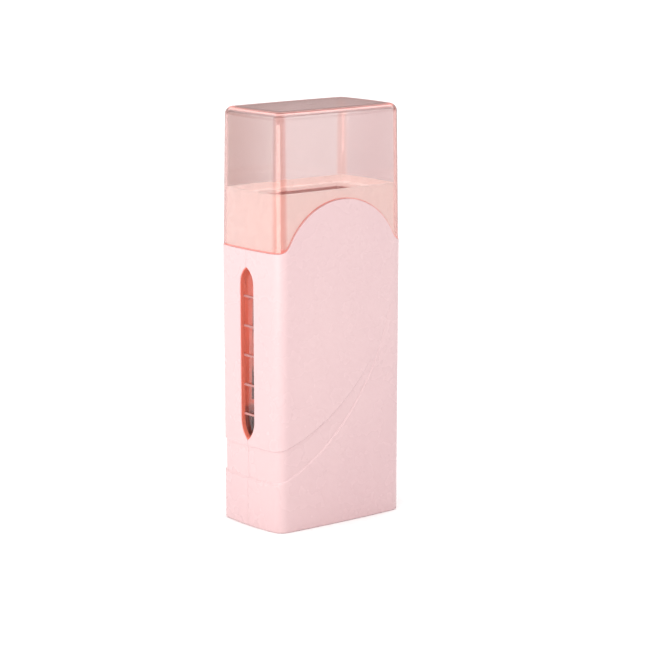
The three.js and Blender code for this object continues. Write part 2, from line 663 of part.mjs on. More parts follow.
// From an inlet pin, up the side away from the window, to an end on the wide face of that side
function supplyRoute(side, endX) {
  const start = [INLET_BACK_X - PIN_REACH - LEAD_GAP, PIN_SPACING / 2, INLET_Z];
  const roundBay = [[16, 5, 23], [17, 7.5, 31], [28, 9, 36.5]];
  const upSide = [[34.8, 9.5, 46], [35, 9.5, 65], [35, 9.5, 94]];
  const overCorner = [[34.2, 14, 104], [29.5, 19.3, 111.5], [endX + 7, 20.2, SAFETY_Z - 0.5]];
  const route = [start, ...roundBay, ...upSide, ...overCorner, [endX, safetyY, SAFETY_Z]];
  return route.map(([x, y, z]) => [x, side * y, z]);
}

// From the window end of a thermostat or fuse to the upper terminal of the heater below it
function terminalRoute(side, startX) {
  const endX = -HEATER_HALF_WIDTH - LEAD_GAP;
  const route = [[startX, safetyY, SAFETY_Z], [startX - 6, 20.1, 115], [-24, 20, 103], [endX, 19.3, 93]];
  return route.map(([x, y, z]) => [x, side * y, z]);
}

// From one heater's lower terminal down past the window, under it and up to the other heater
function linkRoute() {
  const half = [[-HEATER_HALF_WIDTH - LEAD_GAP, 19.3, 77.5], [-24, 19.7, 73], [-31.4, 18.3, 66]];
  half.push([-34.4, 14, 58], [-34.7, 12.5, 48], [-34.3, 10.5, 42], [-32.4, 5, 40.8]);
  return [...half, ...half.map(([x, y, z]) => [x, -y, z]).reverse()];
}

function addLeads() {
  addLead('live_lead', supplyRoute(1, TAB_REACH + GAP), looks.live, 30);
  addLead('neutral_lead', supplyRoute(-1, FUSE_WIRE_REACH + GAP), looks.neutral, 30);
  addLead('thermostat_lead', terminalRoute(1, -TAB_REACH - GAP), looks.live, 10);
  addLead('fuse_lead', terminalRoute(-1, -FUSE_WIRE_REACH - GAP), looks.neutral, 10);
  addLead('heater_link_lead', linkRoute(), looks.live, 36);
}

addCase();
addScrews();
addCap();
addCollar();
addLens();
addLiner();
addChamberFloor();
addHeating('front', -1);
addHeating('rear', 1);
addSafetyParts();
addInlet();
addLeads();

export default group;
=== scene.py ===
"""Looks for the roll-on wax cartridge heater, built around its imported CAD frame."""
import math

import bmesh
import bpy
import numpy as np
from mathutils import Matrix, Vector


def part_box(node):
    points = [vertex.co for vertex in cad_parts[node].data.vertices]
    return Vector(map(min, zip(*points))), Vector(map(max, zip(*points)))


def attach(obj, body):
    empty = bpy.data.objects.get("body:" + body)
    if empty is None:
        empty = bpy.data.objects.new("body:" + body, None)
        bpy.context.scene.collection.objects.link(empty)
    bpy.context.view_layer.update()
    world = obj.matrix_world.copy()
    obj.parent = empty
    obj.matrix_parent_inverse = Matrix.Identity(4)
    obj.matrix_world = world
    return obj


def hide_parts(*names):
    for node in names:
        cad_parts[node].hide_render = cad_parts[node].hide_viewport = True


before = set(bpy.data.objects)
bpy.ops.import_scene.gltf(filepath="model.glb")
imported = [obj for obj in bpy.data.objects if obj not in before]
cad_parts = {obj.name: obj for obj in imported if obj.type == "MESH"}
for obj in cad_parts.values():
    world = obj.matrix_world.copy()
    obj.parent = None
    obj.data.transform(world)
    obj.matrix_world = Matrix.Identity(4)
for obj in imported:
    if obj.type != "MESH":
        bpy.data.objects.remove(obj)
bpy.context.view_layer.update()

# ---- Driving dimensions, in millimetres like the CAD model's ----

MM = 0.001
WIDTH = 2 * (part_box("front_shell")[1] / MM).x
DEPTH = 49.4
HEIGHT = (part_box("cap")[1] / MM).z
NARROW_CROWN, WIDE_CROWN = 2.2, 1.2
CORNER = 6.5
WALL, FLOOR = 1.9, 2.6
BASE_EDGE = 0.9
BODY_DRAFT = 0.5
SEAM = 0.04

JOINT_Z = 137.4
ARCH_TOP_Z = 161.0
ARCH_RADIUS = 36.0
ARCH_FOOT = 7.0
CAP_GAP = 0.14

CAP_STEP, CAP_WALL, CAP_DRAFT, CAP_EDGE = 0.3, 1.6, 1.0, 4.2
CAP_DOME = 0.12
CAP_RIM, CAP_RIM_RADIUS = 0.5, 0.28
NUB_RADIUS, NUB_HEIGHT = 1.5, 0.06
NUB_PLACE = (0.0, 0.0)
SMOOTH_ANGLE = math.radians(35)


# ---- Outline of the case in plan ----

def crown_radius(crown, half_span):
    return (crown ** 2 + half_span ** 2) / (2 * crown)


def case_outline(segments=(12, 12, 24)):
    """Points and outward normals round the case, from the middle of the window side by way of the front."""
    side_r = crown_radius(NARROW_CROWN, DEPTH / 2)
    face_r = crown_radius(WIDE_CROWN, WIDTH / 2)
    side = np.array([WIDTH / 2 - side_r, 0.0])
    face = np.array([0.0, DEPTH / 2 - face_r])
    between = face - side
    span = np.linalg.norm(between)
    step = between / span
    reach = side_r - CORNER
    along = (reach ** 2 - (face_r - CORNER) ** 2 + span ** 2) / (2 * span)
    across = math.sqrt(reach ** 2 - along ** 2)
    corner = max(
        (side + step * along + sign * across * np.array([-step[1], step[0]]) for sign in (1, -1)),
        key=lambda p: min(p),
    )
    side_angle = math.atan2(corner[1], corner[0] - side[0])
    face_angle = math.atan2(corner[1] - face[1], corner[0])
    arcs = (
        (side, side_r, 0.0, side_angle, segments[0]),
        (corner, CORNER, side_angle, face_angle, segments[1]),
        (face, face_r, face_angle, math.pi / 2, segments[2]),
    )
    points, normals = [], []
    for centre, radius, start, end, count in arcs:
        for i in range(count):
            angle = start + (end - start) * i / count
            normal = np.array([math.cos(angle), math.sin(angle)])
            points.append(centre + radius * normal)
            normals.append(normal)
    points.append(face + face_r * np.array([0.0, 1.0]))
    normals.append(np.array([0.0, 1.0]))
    quarter_p, quarter_n = np.array(points), np.array(normals)
    mirror = np.array([-1.0, -1.0])
    half_p = np.vstack([quarter_p * mirror, (quarter_p * [1, -1])[::-1][1:]])
    half_n = np.vstack([quarter_n * mirror, (quarter_n * [1, -1])[::-1][1:]])
    return half_p, half_n


HALF_P, HALF_N = case_outline()
LOOP_P = np.vstack([HALF_P, (HALF_P * [1, -1])[::-1][1:-1]])
LOOP_N = np.vstack([HALF_N, (HALF_N * [1, -1])[::-1][1:-1]])


def body_inset(z):
    return BODY_DRAFT * (1 - z / JOINT_Z)


def cap_inset(z):
    return CAP_DRAFT * (z - JOINT_Z) / (HEIGHT - JOINT_Z)


def smooth(value, low, high):
    t = np.clip((value - low) / (high - low), 0.0, 1.0)
    return t * t * (3 - 2 * t)


def arch_z(x, gap=0.0):
    """Height of the joint between the case and the cap on a wide face, at each x."""
    centre_z = ARCH_TOP_Z - ARCH_RADIUS
    foot_z = JOINT_Z + ARCH_FOOT
    foot_x = math.sqrt((ARCH_RADIUS + ARCH_FOOT) ** 2 - (foot_z - centre_z) ** 2)
    split = foot_x * ARCH_RADIUS / (ARCH_RADIUS + ARCH_FOOT)
    reach = np.minimum(np.abs(x), foot_x)
    crown = centre_z + np.sqrt(np.maximum((ARCH_RADIUS + gap) ** 2 - reach ** 2, 0))
    foot = foot_z - np.sqrt(np.maximum((ARCH_FOOT - gap) ** 2 - (foot_x - reach) ** 2, 0))
    return np.where(reach < split, crown, foot)


# ---- Meshes ----

def make_object(name, verts, faces, look, body="case", replaces=()):
    """New smooth-shaded piece, from points in millimetres, that rides on a body."""
    mesh = bpy.data.meshes.new(name)
    mesh.from_pydata([tuple(v) for v in np.asarray(verts) * MM], [], faces)
    mesh.validate()
    mesh.polygons.foreach_set("use_smooth", [True] * len(mesh.polygons))
    mesh.set_sharp_from_angle(angle=SMOOTH_ANGLE)
    mesh.materials.append(look)
    obj = bpy.data.objects.new(name, mesh)
    bpy.context.scene.collection.objects.link(obj)
    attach(obj, body)
    if replaces:
        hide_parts(*replaces)
    return obj


def bridge(loop_a, loop_b):
    """Quads between two closed rows of vertex numbers, running the same way."""
    count = len(loop_a)
    faces = []
    for i in range(count):
        j = (i + 1) % count
        quad = (loop_a[i], loop_a[j], loop_b[j], loop_b[i])
        corners = list(dict.fromkeys(quad))
        if len(corners) >= 3:
            faces.append(tuple(corners))
    return faces


def ring_solid(rings, closed_ends=True):
    """Surface through a list of rings of points, closed by a middle point in the first and the last ring."""
    verts, faces, count = [], [], len(rings[0])
    for ring in rings:
        verts.extend(ring)
    rows = [[r * count + i for i in range(count)] for r in range(len(rings))]
    for low, high in zip(rows, rows[1:]):
        faces += bridge(low, high)
    if closed_ends:
        for row, flip in ((rows[0], True), (rows[-1], False)):
            middle = len(verts)
            verts.append(np.mean([verts[i] for i in row], axis=0))
            for i in range(count):
                a, b = row[i], row[(i + 1) % count]
                faces.append((b, a, middle) if flip else (a, b, middle))
    return np.array(verts), faces


def weld(obj, distance=0.002):
    """Joins the points that fall together, and sets all faces to point outwards."""
    bm = bmesh.new()
    bm.from_mesh(obj.data)
    bmesh.ops.remove_doubles(bm, verts=bm.verts, dist=distance * MM)
    bmesh.ops.dissolve_degenerate(bm, edges=bm.edges, dist=distance * MM)
    bmesh.ops.recalc_face_normals(bm, faces=bm.faces)
    bm.to_mesh(obj.data)
    bm.free()
    obj.data.set_sharp_from_angle(angle=SMOOTH_ANGLE)


# ---- Outer wall of the case: grip band, sight slit and rounded edges ----

BAND_LOW_Z, BAND_HIGH_Z = 24.2, 40.4
BAND_DEPTH = 0.7
BAND_TIP = (28.6, 100.5)
BAND_EDGE = 0.5
BAND_START_X, BAND_RUN_OUT, BAND_LEAST = -39, 12, 3.5
GROOVE_DEPTH, GROOVE_HALF_WIDTH = 0.1, 0.45
SLIT_HALF = 5.25
SLIT_LOW_Z, SLIT_HIGH_Z = 43.1, 128.9
SLIT_SPRING_LOW_Z, SLIT_SPRING_HIGH_Z = 53.0, 120.5
NARROW_COLUMNS = 12
SIDE_R = crown_radius(NARROW_CROWN, DEPTH / 2)
SIDE_CENTRE_X = WIDTH / 2 - SIDE_R


def bezier(p0, p1, p2, p3, count=200):
    t = np.linspace(0, 1, count)[:, None]
    p0, p1, p2, p3 = map(np.array, (p0, p1, p2, p3))
    return (1 - t) ** 3 * p0 + 3 * (1 - t) ** 2 * t * p1 + 3 * (1 - t) * t * t * p2 + t ** 3 * p3


def band_edges(x):
    """Heights of the grip band's lower and upper edge at each x."""
    low = bezier((BAND_START_X, BAND_LOW_Z), (-6, 35), (21, 68), BAND_TIP)
    high = bezier((BAND_START_X, BAND_HIGH_Z), (-14, 46), (17, 68), BAND_TIP)
    past = BAND_TIP[1] + BAND_RUN_OUT * (1 - np.exp(-np.maximum(x - BAND_TIP[0], 0) / 5))
    low_z = np.where(x < BAND_TIP[0], np.interp(x, low[:, 0], low[:, 1]), past)
    high_z = np.interp(x, high[:, 0], high[:, 1])
    return low_z, np.maximum(high_z, low_z + BAND_LEAST)


def band_depth(x, z):
    """How far the case's surface lies below its smooth shape, in and along the grip band."""
    low_z, high_z = band_edges(x)
    at_low = BAND_DEPTH * (1 - smooth(x, 2, 33))
    at_high = BAND_DEPTH * (1 - smooth(x, -8, 24))
    share = np.clip((z - low_z) / (high_z - low_z), 0, 1)
    inside = smooth(z, low_z - BAND_EDGE, low_z + BAND_EDGE)
    inside = inside * (1 - smooth(z, high_z - BAND_EDGE, high_z + BAND_EDGE))
    groove = GROOVE_DEPTH * smooth(x, 16, 30) * np.exp(-(((z - low_z) / GROOVE_HALF_WIDTH) ** 2))
    return (at_low + (at_high - at_low) * share) * inside + groove


def slit_half(z):
    """Half the width of the sight slit at each height, with pointed ends."""
    def end(rise, height):
        offset = (rise ** 2 - SLIT_HALF ** 2) / (2 * SLIT_HALF)
        return np.sqrt(np.maximum((SLIT_HALF + offset) ** 2 - height ** 2, 0)) - offset
    upper = end(SLIT_HIGH_Z - SLIT_SPRING_HIGH_Z, np.maximum(z - SLIT_SPRING_HIGH_Z, 0))
    lower = end(SLIT_SPRING_LOW_Z - SLIT_LOW_Z, np.maximum(SLIT_SPRING_LOW_Z - z, 0))
    return np.maximum(np.minimum(upper, lower), SEAM)


def side_heights(x):
    """Heights of the wall's rows at each column, close together at the band's edges and the slit's ends."""
    low_z, high_z = band_edges(x)
    top = np.where(np.abs(x) < WIDTH / 2, arch_z(x), JOINT_Z)
    steps = np.array([-0.8, -0.5, -0.3, -0.1, 0.1, 0.3, 0.5, 0.8])
    rows = [BASE_EDGE + (low_z + steps[0] - BASE_EDGE) * f for f in np.linspace(0, 1, 12)[1:-1]]
    rows += [low_z + step for step in steps]
    start, end = low_z + steps[-1], high_z + steps[0]
    rows += [start + (end - start) * f for f in np.linspace(0, 1, 9)[1:-1]]
    rows += [high_z + step for step in steps]
    start = BAND_HIGH_Z + steps[-1]
    near_low = [42.2, SLIT_LOW_Z, 43.5, 44, 45, 46.5, 48.5, 50.7, SLIT_SPRING_LOW_Z]
    near_high = [SLIT_SPRING_HIGH_Z, 122.8, 124.8, 126.4, 127.6, 128.4, SLIT_HIGH_Z, 129.8, 131.5, 134, 136.4]
    straight = list(np.linspace(SLIT_SPRING_LOW_Z, SLIT_SPRING_HIGH_Z, 18)[1:-1])
    levels = near_low + straight + near_high + [JOINT_Z]
    start_z = high_z + steps[-1]
    rows += [start_z + (top - start_z) * (level - start) / (JOINT_Z - start) for level in levels]
    return np.array(rows)


def case_point(column, inset, z, half_width):
    """Point and outward normal on column of the front half, with the columns by the window pushed aside."""
    last = len(HALF_P) - 1
    from_side = min(column, last - column)
    if from_side <= NARROW_COLUMNS:
        reach = abs(HALF_P[NARROW_COLUMNS][1])
        share = abs(HALF_P[from_side][1]) / reach
        y = half_width + share * (reach - half_width)
        sign = -1 if column <= NARROW_COLUMNS else 1
        normal = np.array([sign * math.sqrt(1 - (y / SIDE_R) ** 2), -y / SIDE_R])
        centre = np.array([sign * SIDE_CENTRE_X, 0.0])
        return centre + (SIDE_R - inset) * normal, normal
    return HALF_P[column] - HALF_N[column] * inset, HALF_N[column]


def wall_grid(wall, floor, edge, banded):
    """Points and normals of the front half of the case wall, inset by wall, from the seam in the base up."""
    columns = len(HALF_P)
    heights = side_heights(HALF_P[:, 0])
    grid, normals = [], []
    for f in np.linspace(0, 1, 6)[:-1]:
        row = []
        for j in range(columns):
            p, _ = case_point(j, wall + edge + body_inset(0), floor, SEAM)
            row.append((p[0], -SEAM + f * (p[1] + SEAM), floor))
        grid.append(row)
        normals.append([(0, 0, -1)] * columns)
    for angle in np.linspace(0, math.pi / 2, 6):
        row, row_n = [], []
        for j in range(columns):
            inset = wall + body_inset(0) + edge * (1 - math.sin(angle))
            p, n = case_point(j, inset, floor, SEAM)
            row.append((p[0], p[1], floor + edge * (1 - math.cos(angle))))
            row_n.append((n[0] * math.sin(angle), n[1] * math.sin(angle), -math.cos(angle)))
        grid.append(row)
        normals.append(row_n)
    for level in heights:
        row, row_n = [], []
        for j in range(columns):
            z = max(level[j], floor)
            half = float(slit_half(level[j])) if j <= NARROW_COLUMNS else SEAM
            inset = wall + body_inset(z)
            if banded:
                inset += float(band_depth(HALF_P[j][0], level[j]))
            p, n = case_point(j, inset, z, half)
            row.append((p[0], p[1], z))
            row_n.append((n[0], n[1], 0.0))
        grid.append(row)
        normals.append(row_n)
    return np.array(grid), np.array(normals)


def boundary(rows, columns):
    """Grid places round the edge of a patch, with the place next inwards of each."""
    places = [((0, j), (1, j), "base") for j in range(columns)]
    places += [((i, columns - 1), (i, columns - 2), "seam") for i in range(1, rows)]
    places += [((rows - 1, j), (rows - 2, j), "top") for j in range(columns - 2, -1, -1)]
    places += [((i, 0), (i, 1), "window") for i in range(rows - 2, 0, -1)]
    return places


EDGE_RADIUS = {"base": 0.12, "seam": 0.12, "top": 0.3, "window": 0.12}
SLIT_EDGE = 0.45


def half_shell():
    """One closed half of the case, with a rounded rim all round: the front half."""
    outer, normal = wall_grid(0.0, 0.0, BASE_EDGE, True)
    inner, _ = wall_grid(WALL, FLOOR, 0.0, False)
    rows, columns = outer.shape[:2]
    places = boundary(rows, columns)
    loops = [[] for _ in range(5)]
    trimmed = outer.copy()
    for (at, inwards, side) in places:
        edge, n = outer[at], normal[at]
        into = outer[inwards] - edge
        into = into - n * np.dot(into, n)
        length = np.linalg.norm(into)
        into = into / length if length > 1e-6 else np.array([0.0, 0.0, 0.0])
        radius = EDGE_RADIUS[side]
        if side == "window" and abs(edge[1]) > 0.5:
            radius = SLIT_EDGE
        radius = min(radius, 0.8 * length) if length > 1e-6 else 0.0
        trimmed[at] = edge + into * radius
        for k, angle in enumerate((30, 60, 90)):
            a = math.radians(angle)
            loops[k + 1].append(edge + into * radius * (1 - math.sin(a)) - n * radius * (1 - math.cos(a)))
    verts = list(trimmed.reshape(-1, 3)) + list(inner.reshape(-1, 3))
    index = np.arange(rows * columns).reshape(rows, columns)
    inner_index = index + rows * columns
    faces = []
    for i in range(rows - 1):
        for j in range(columns - 1):
            quad = ((i, j), (i, j + 1), (i + 1, j + 1), (i + 1, j))
            faces.append(tuple(index[at] for at in quad))
            faces.append(tuple(inner_index[at] for at in (quad[3], quad[2], quad[1], quad[0])))
    chain = [[int(index[at]) for at, _, _ in places]]
    for k in (1, 2, 3):
        chain.append(list(range(len(verts), len(verts) + len(places))))
        verts += loops[k]
    chain.append([int(inner_index[at]) for at, _, _ in places])
    for low, high in zip(chain, chain[1:]):
        faces += bridge(high, low)
    return np.array(verts), [tuple(int(v) for v in face) for face in faces]


# ---- Materials ----

def srgb(red, green, blue):
    """Linear colour of a display colour given as 0 to 255."""
    def linear(value):
        value /= 255
        return value / 12.92 if value <= 0.04045 else ((value + 0.055) / 1.055) ** 2.4
    return (linear(red), linear(green), linear(blue), 1.0)


class Look:
    """A material made of nodes: a Principled shader, with textures in object coordinates in millimetres."""

    def __init__(self, name, **sockets):
        self.material = bpy.data.materials.new(name)
        self.material.use_nodes = True
        self.tree = self.material.node_tree
        self.shader = self.tree.nodes["Principled BSDF"]
        for socket, value in sockets.items():
            self.shader.inputs[socket.replace("_", " ")].default_value = value
        place = self.tree.nodes.new("ShaderNodeTexCoord")
        scale = self.tree.nodes.new("ShaderNodeVectorMath")
        scale.operation = "SCALE"
        scale.inputs["Scale"].default_value = 1 / MM
        self.link(place.outputs["Object"], scale.inputs[0])
        self.place = scale.outputs[0]

    def link(self, source, target):
        self.tree.links.new(source, target)

    def stretched(self, x, y, z):
        node = self.tree.nodes.new("ShaderNodeVectorMath")
        node.operation = "MULTIPLY"
        node.inputs[1].default_value = (x, y, z)
        self.link(self.place, node.inputs[0])
        return node.outputs[0]

    def noise(self, size, detail=4.0, roughness=0.55, place=None):
        """Noise with features of about that many millimetres."""
        node = self.tree.nodes.new("ShaderNodeTexNoise")
        node.inputs["Scale"].default_value = 1 / size
        node.inputs["Detail"].default_value = detail
        node.inputs["Roughness"].default_value = roughness
        self.link(place or self.place, node.inputs["Vector"])
        return node.outputs["Fac"]

    def height(self, axis):
        node = self.tree.nodes.new("ShaderNodeSeparateXYZ")
        self.link(self.place, node.inputs[0])
        return node.outputs[axis]

    def ramp(self, source, *stops):
        node = self.tree.nodes.new("ShaderNodeValToRGB")
        elements = node.color_ramp.elements
        while len(elements) < len(stops):
            elements.new(0.5)
        for element, (at, colour) in zip(elements, stops):
            element.position = at
            element.color = colour
        self.link(source, node.inputs["Fac"])
        return node.outputs["Color"]

    def spread(self, source, low_from, high_from, low_to, high_to):
        node = self.tree.nodes.new("ShaderNodeMapRange")
        values = (low_from, high_from, low_to, high_to)
        for socket, value in zip(("From Min", "From Max", "To Min", "To Max"), values):
            node.inputs[socket].default_value = value
        self.link(source, node.inputs["Value"])
        return node.outputs["Result"]

    def combine(self, operation, first, second=0.0):
        node = self.tree.nodes.new("ShaderNodeMath")
        node.operation = operation
        for socket, value in zip(node.inputs, (first, second)):
            if hasattr(value, "links"):
                self.link(value, socket)
            else:
                socket.default_value = value
        return node.outputs[0]

    def blend(self, factor, first, second, mode="MIX"):
        node = self.tree.nodes.new("ShaderNodeMix")
        node.data_type = "RGBA"
        node.blend_type = mode
        for socket, value in zip(("Factor_Float", "A_Color", "B_Color"), (factor, first, second)):
            target = next(i for i in node.inputs if i.identifier == socket)
            if hasattr(value, "links"):
                self.link(value, target)
            else:
                target.default_value = value
        return next(o for o in node.outputs if o.identifier == "Result_Color")

    def colour(self, source):
        self.link(source, self.shader.inputs["Base Color"])

    def rough(self, source, low, high):
        self.link(self.spread(source, 0.25, 0.75, low, high), self.shader.inputs["Roughness"])

    def bump(self, source, strength, distance):
        """Bump of that height in millimetres, laid over any earlier one."""
        node = self.tree.nodes.new("ShaderNodeBump")
        node.inputs["Strength"].default_value = strength
        node.inputs["Distance"].default_value = distance * MM
        self.link(source, node.inputs["Height"])
        normal = self.shader.inputs["Normal"]
        if normal.links:
            self.link(normal.links[0].from_socket, node.inputs["Normal"])
        self.link(node.outputs["Normal"], normal)


def moulded(name, pale, deep, rough=(0.24, 0.3), grain=0.0007, foot=None):
    """Glossy moulded plastic: faint flow clouds in the colour, fine texture and slight waviness, and, with
    foot given, painted shade darkening it towards the bottom.
    """
    look = Look(name, IOR=1.5, Specular_IOR_Level=0.5)
    clouds = look.noise(40, 2, 0.5, look.stretched(1, 1, 0.55))
    colour = look.ramp(clouds, (0.3, pale), (0.7, deep))
    # Painted shade: the colour darkens towards the base.
    if foot:
        rise = look.spread(look.height("Z"), 0, JOINT_Z, 0, 1)
        shade = look.ramp(rise, (0.0, foot), (0.45, tuple((1 + v) / 2 for v in foot)), (1.0, (1, 1, 1, 1)))
        colour = look.blend(1.0, colour, shade, "MULTIPLY")
    look.colour(colour)
    look.rough(look.noise(11, 2), *rough)
    look.bump(look.noise(30, 1, 0.4), 0.4, grain * 8)
    look.bump(look.noise(2.5, 1), 0.4, grain)
    return look


def metal(name, colour, dark, rough, along):
    """Metal with fine drawing marks along one axis."""
    look = Look(name, Metallic=1.0)
    marks = look.noise(0.5, 6, 0.7, look.stretched(*along))
    look.colour(look.ramp(marks, (0.3, dark), (0.7, colour)))
    look.rough(marks, *rough)
    look.bump(marks, 0.3, 0.02)
    return look


def glow(look, colour, strength):
    """Even painted glow: emission standing in for light carried inside translucent plastic."""
    look.shader.inputs["Emission Color"].default_value = colour
    look.shader.inputs["Emission Strength"].default_value = strength


WALL_TINT = (0.95, 0.98, 0.98, 1)
# Painted shade: the cap's rear wall, most at its window end, and its inlet end are tinted darker than the near
# walls.
REAR_PAINTED_SHADE = (0.87, 0.82, 0.82, 1)
REAR_WINDOW_END_PAINTED_SHADE = (0.5, 0.3, 0.26, 1)
INLET_END_PAINTED_SHADE = (0.75, 0.64, 0.65, 1)
# Painted shade deepening the cap's tint in its corners and along its top edge, and a painted glow along that
# edge.
CORNER_AND_EDGE_PAINTED_SHADE = (0.86, 0.64, 0.6, 1)
EDGE_PAINTED_GLOW = (1.0, 0.26, 0.2, 1)
CAP_DENSITY = 145.0
WINDOW_END_X, INLET_END_X = (-38.6, -36), (36, 38.6)
REAR_WALL_Y, REAR_BLEND_X = (18.5, 22.5), (-30, 4)
CORNER_ZONE_X, CORNER_ZONE_Y = (33.2, 34.6), (17.8, 19.6)
TOP_EDGE_START_Z, TOP_EDGE_END_Z = (203.5, 204.1), (204.74, 204.82)


def cap_plastic():
    """Clear pink plastic with painted shade: a tint for each wall, darker on the rear wall and the inlet end,
    deeper in the corners and along the top edge, which also carries a painted glow.
    """
    look = Look("clear_cap_plastic", Transmission_Weight=0.94, IOR=1.49, Specular_IOR_Level=0.5)
    across = look.spread(look.height("X"), *REAR_BLEND_X, 0, 1)
    # Painted shade on the rear wall and the inlet end.
    rear = look.blend(across, REAR_WINDOW_END_PAINTED_SHADE, REAR_PAINTED_SHADE)
    tint = look.blend(look.spread(look.height("Y"), *REAR_WALL_Y, 0, 1), WALL_TINT, rear)
    tint = look.blend(look.spread(look.height("X"), *WINDOW_END_X, 1, 0), tint, WALL_TINT)
    tint = look.blend(look.spread(look.height("X"), *INLET_END_X, 0, 1), tint, INLET_END_PAINTED_SHADE)
    corner_x = look.spread(look.combine("ABSOLUTE", look.height("X")), *CORNER_ZONE_X, 0, 1)
    corner_y = look.spread(look.combine("ABSOLUTE", look.height("Y")), *CORNER_ZONE_Y, 0, 1)
    edge_low = look.spread(look.height("Z"), *TOP_EDGE_START_Z, 0, 1)
    edge_high = look.spread(look.height("Z"), *TOP_EDGE_END_Z, 1, 0)
    edge = look.combine("MULTIPLY", edge_low, edge_high)
    # Painted shade in the corners and along the top edge.
    painted_shade_zone = look.combine("MAXIMUM", look.combine("MULTIPLY", corner_x, corner_y), edge)
    tint = look.blend(painted_shade_zone, tint, CORNER_AND_EDGE_PAINTED_SHADE)
    # Painted glow along the top edge.
    look.link(look.blend(edge, (0, 0, 0, 1), EDGE_PAINTED_GLOW), look.shader.inputs["Emission Color"])
    look.shader.inputs["Emission Strength"].default_value = 0.3
    clouds = look.ramp(look.noise(26, 3), (0.3, (1, 1, 1, 1)), (0.7, (0.99, 0.985, 0.985, 1)))
    look.colour(look.blend(1.0, tint, clouds, "MULTIPLY"))
    look.rough(look.noise(9, 4), 0.02, 0.05)
    look.bump(look.noise(22, 2, 0.4), 0.4, 0.02)
    body = look.tree.nodes.new("ShaderNodeVolumeAbsorption")
    body.inputs["Color"].default_value = srgb(222, 130, 124)
    body.inputs["Density"].default_value = CAP_DENSITY
    look.link(body.outputs[0], look.tree.nodes["Material Output"].inputs["Volume"])
    return look


def lens_plastic():
    look = Look("window_lens_plastic", Transmission_Weight=1.0, IOR=1.49, Specular_IOR_Level=0.5)
    pale, pink = srgb(255, 240, 238), srgb(255, 234, 231)
    look.colour(look.ramp(look.noise(12, 3), (0.3, pale), (0.7, pink)))
    look.rough(look.noise(5, 4), 0.03, 0.08)
    look.bump(look.noise(9, 2, 0.4), 0.4, 0.03)
    return look


CHAMBER_RISE_Z = (54, 140)
# Darker colour at the foot of the chamber lining.
LINER_FOOT_DARK = srgb(150, 98, 92)


def lacquer(name, low, middle, high, strength):
    """Red lining of the chamber: dark at the foot, faintly clouded, and with a painted glow that fades out
    towards the top.
    """
    look = Look(name, IOR=1.5, Specular_IOR_Level=0.5)
    rise = look.spread(look.height("Z"), *CHAMBER_RISE_Z, 0, 1)
    base = look.ramp(rise, (0.035, LINER_FOOT_DARK), (0.05, low), (0.5, middle), (1.0, high))
    clouds = look.ramp(look.noise(8, 3), (0.3, (0.9, 0.86, 0.85, 1)), (0.7, (1, 1, 1, 1)))
    colour = look.blend(1.0, base, clouds, "MULTIPLY")
    look.colour(colour)
    # Painted glow, fading out towards the top.
    fade = look.ramp(rise, (0.75, (1, 1, 1, 1)), (0.95, (0, 0, 0, 1)))
    look.link(look.blend(1.0, colour, fade, "MULTIPLY"), look.shader.inputs["Emission Color"])
    look.shader.inputs["Emission Strength"].default_value = strength
    look.rough(look.noise(3, 3), 0.26, 0.38)
    look.bump(look.noise(0.6, 2), 0.4, 0.01)
    return look


def floor_resin():
    """Dark resin with upright streaks."""
    look = Look("chamber_floor_resin", IOR=1.5, Specular_IOR_Level=0.5)
    streaks = look.noise(0.9, 4, 0.6, look.stretched(1, 1, 0.12))
    look.colour(look.ramp(streaks, (0.3, srgb(126, 82, 78)), (0.7, srgb(164, 118, 112))))
    look.rough(streaks, 0.4, 0.65)
    look.bump(streaks, 0.5, 0.08)
    return look


def insulating_film():
    look = Look("insulating_film", IOR=1.5, Specular_IOR_Level=0.5)
    look.colour(look.ramp(look.noise(5, 4), (0.3, srgb(176, 112, 30)), (0.7, srgb(206, 146, 52))))
    look.rough(look.noise(2, 4), 0.2, 0.35)
    look.bump(look.noise(3, 3), 0.5, 0.05)
    return look


# Painted shade: the case darkens towards its base.
FOOT_PAINTED_SHADE = (0.955, 0.93, 0.93, 1)
shell_look = moulded("shell_plastic", srgb(217, 190, 192), srgb(214, 186, 189), foot=FOOT_PAINTED_SHADE)
collar_look = moulded("collar_plastic", srgb(210, 166, 156), srgb(206, 161, 151))
# Painted glow: the collar's emission lifts it evenly under the clear cap.
glow(collar_look, (1.0, 0.85, 0.79, 1), 0.56)
bar_look = moulded("window_bar_plastic", srgb(186, 132, 128), srgb(172, 118, 114), (0.3, 0.4))
surround_look = moulded("window_surround_plastic", srgb(232, 126, 106), srgb(224, 116, 97), (0.2, 0.3))
# Painted shade: dark strips standing in for the shaded gaps down the heat plates' sides.
gap_shade_strip_look = moulded("gap_shade_strip", srgb(96, 66, 62), srgb(82, 56, 53), (0.5, 0.65), 0.01)
rail_look = moulded("guide_rail_plastic", srgb(226, 158, 148), srgb(214, 146, 137), (0.3, 0.4))

cap_look = cap_plastic()
# Painted glow: the cap's lower rim is coloured salmon and given emission.
cap_rim_painted_glow_look = moulded("cap_rim_painted_glow", srgb(236, 150, 142), srgb(230, 142, 134), (0.08, 0.14))
cap_rim_painted_glow_look.shader.inputs["Transmission Weight"].default_value = 0.35
glow(cap_rim_painted_glow_look, (1.0, 0.34, 0.28, 1), 0.25)
lens_look = lens_plastic()

LINER_COLOURS = (srgb(206, 118, 99), srgb(220, 132, 113), srgb(224, 138, 119))
PLATE_COLOURS = (srgb(200, 128, 114), srgb(216, 152, 139), srgb(220, 156, 143))
# Both linings carry a painted glow.
liner_look = lacquer("liner_plastic", *LINER_COLOURS, 0.5)
plate_look = lacquer("plate_lacquer", *PLATE_COLOURS, 0.48)
floor_look = floor_resin()

